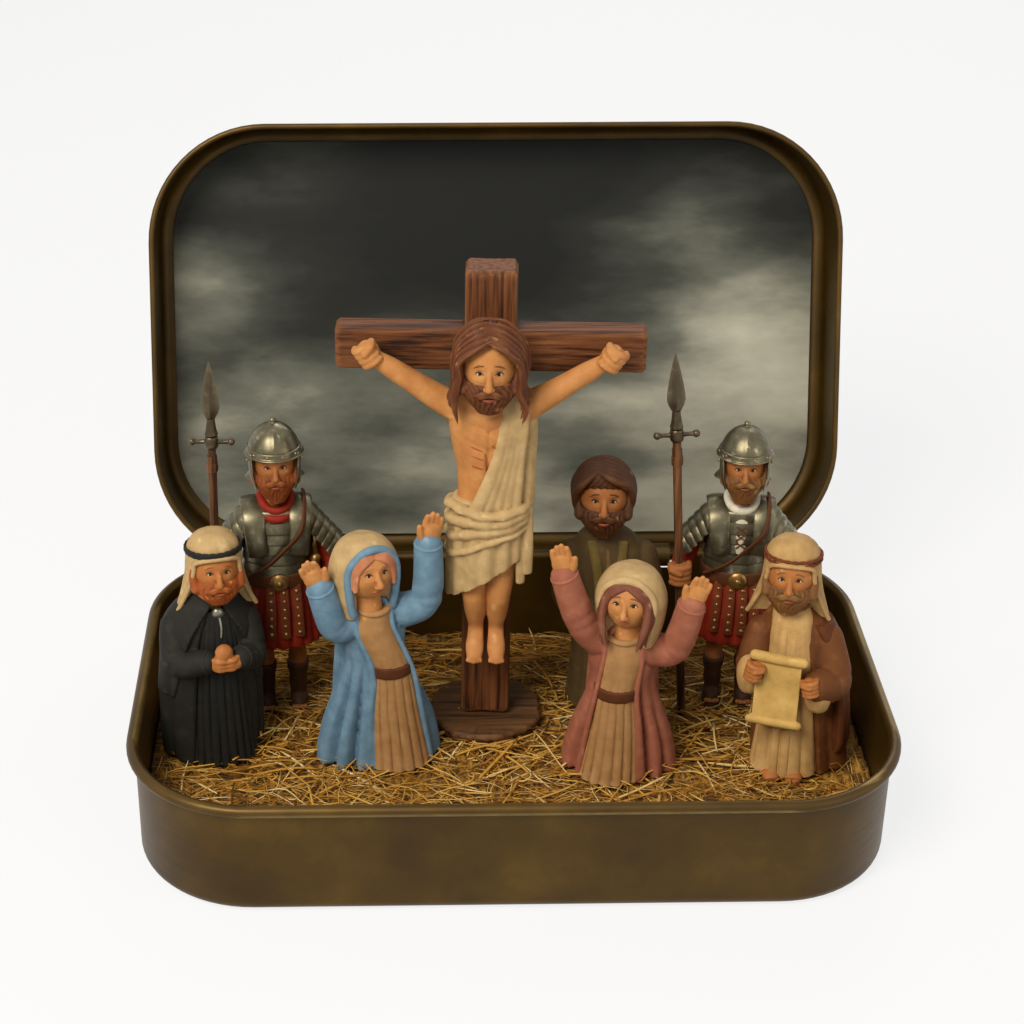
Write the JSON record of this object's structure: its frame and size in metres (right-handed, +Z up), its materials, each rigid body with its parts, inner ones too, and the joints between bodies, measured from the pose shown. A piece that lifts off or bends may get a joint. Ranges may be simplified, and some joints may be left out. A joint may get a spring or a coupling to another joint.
{
  "type": "miniature crucifixion scene in a hinged tin",
  "caption": "Pocket-size hinged tin standing open as a stage: painted miniature figures on straw round a wooden cross, before a printed storm sky in the lid.",
  "frame": {"origin": "middle of the tray's flat underside", "axes": "+X to the viewer's right along the tin's long side, -Y towards the viewer, +Z up"},
  "size_m": [0.0952, 0.0895, 0.0712],
  "materials": {
    "tinplate": "bronze lacquered tinplate, satin",
    "sky_print": "matt printed card, storm sky",
    "straw": "loose dry straw",
    "timber": "dark stained wood with worn edges",
    "wood_slice": "dark stained wood slice",
    "spear": "painted brown shaft, worn steel head",
    "figure_skin": "hand painted casting resin, matt",
    "figure_red": "hand painted casting resin, red cloth and steel armour",
    "figure_dark": "hand painted casting resin, charcoal cloak",
    "figure_blue": "hand painted casting resin, light blue coat",
    "figure_pink": "hand painted casting resin, dusty pink coat",
    "figure_tan": "hand painted casting resin, tan coat and cream robe",
    "figure_brown": "hand painted casting resin, olive brown robe"
  },
  "bodies": {
    "tray": {"tin_base": "tinplate", "straw_bed": "straw", "cross_plinth": "wood_slice", "cross_upright": "timber", "cross_beam": "timber", "crucified_figure": "figure_skin", "soldier_left": "figure_red", "spear_left": "spear", "soldier_right": "figure_red", "spear_right": "spear", "brown_robed_man": "figure_brown", "dark_cloaked_man": "figure_dark", "blue_coated_woman": "figure_blue", "pink_coated_woman": "figure_pink", "scroll_reader": "figure_tan"},
    "lid": {"tin_lid": "tinplate", "sky_card": "sky_print"}
  },
  "joints": [
    {"name": "lid_hinge", "type": "hinge", "parent": "tray", "child": "lid", "pos_m": [0, 0.0293, 0.0151], "axis": [1, 0, 0], "range_deg": [0, 42]}
  ]
}
